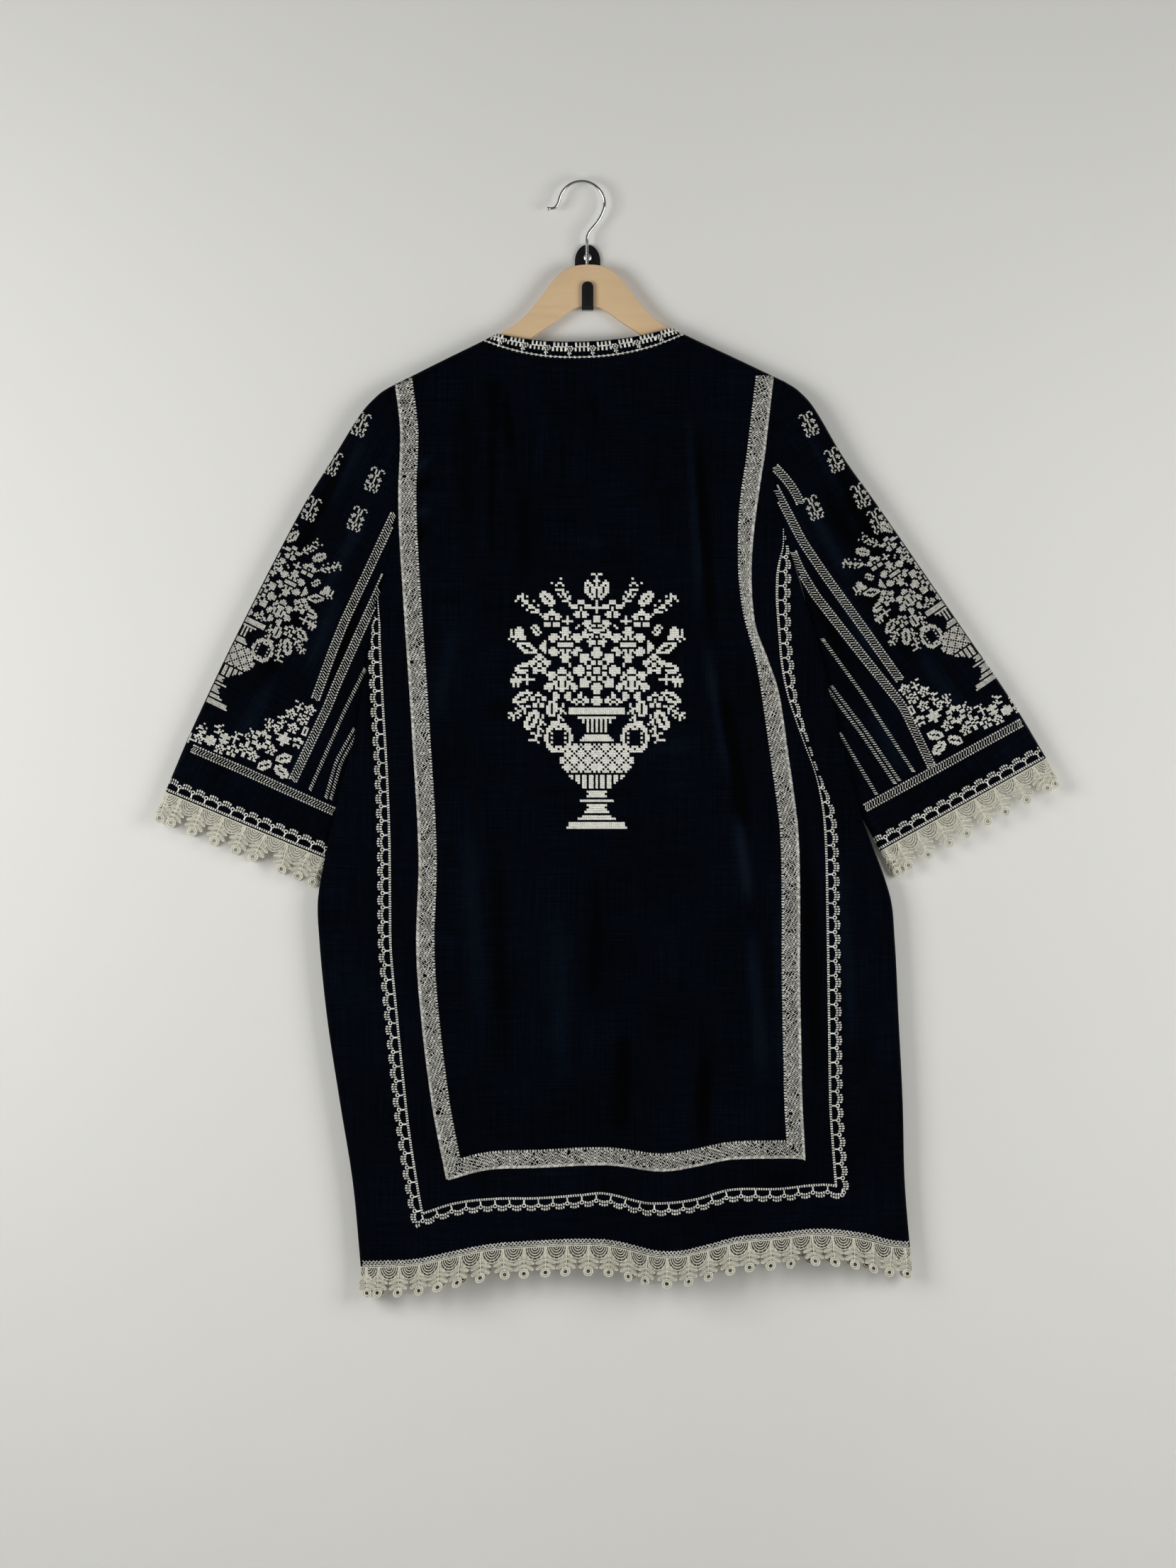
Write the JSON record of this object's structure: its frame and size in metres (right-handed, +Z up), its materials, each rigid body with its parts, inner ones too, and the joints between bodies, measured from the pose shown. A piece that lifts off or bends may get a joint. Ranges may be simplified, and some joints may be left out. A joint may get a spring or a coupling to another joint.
{
  "type": "embroidered kurti on a wooden hanger and a wall hook",
  "caption": "Long three-quarter-sleeved kurti tunic with lace hem and cuffs, hanging flat, back outwards, by a wooden hanger on a J-shaped wall hook.",
  "frame": {"origin": "middle of the wall hook's plate, on its back face against the wall", "axes": "+Y into the wall, +Z up along the garment, +X to the right as the garment's embroidered back is seen from the room"},
  "size_m": [0.8868, 0.053, 1.1022],
  "materials": {
    "linen": "matt navy-black plain-weave linen",
    "stitching": "raised ivory cotton cross-stitch",
    "lace": "ecru corded guipure lace",
    "beech": "satin varnish",
    "wire": "polished",
    "black_enamel": "satin",
    "screw_steel": "polished"
  },
  "bodies": {
    "root": {"back_panel": "linen", "front_panel": "linen", "sleeve_left": "linen", "sleeve_right": "linen", "neckband_back": "linen", "neckband_front": "linen", "hem_lace_back": "lace", "hem_lace_front": "lace", "cuff_lace_left_back": "lace", "cuff_lace_left_front": "lace", "cuff_lace_right_back": "lace", "cuff_lace_right_front": "lace", "hanger": "beech", "hanger_hook": "wire", "wall_hook": "black_enamel", "wall_screw": "screw_steel"}
  },
  "joints": []
}
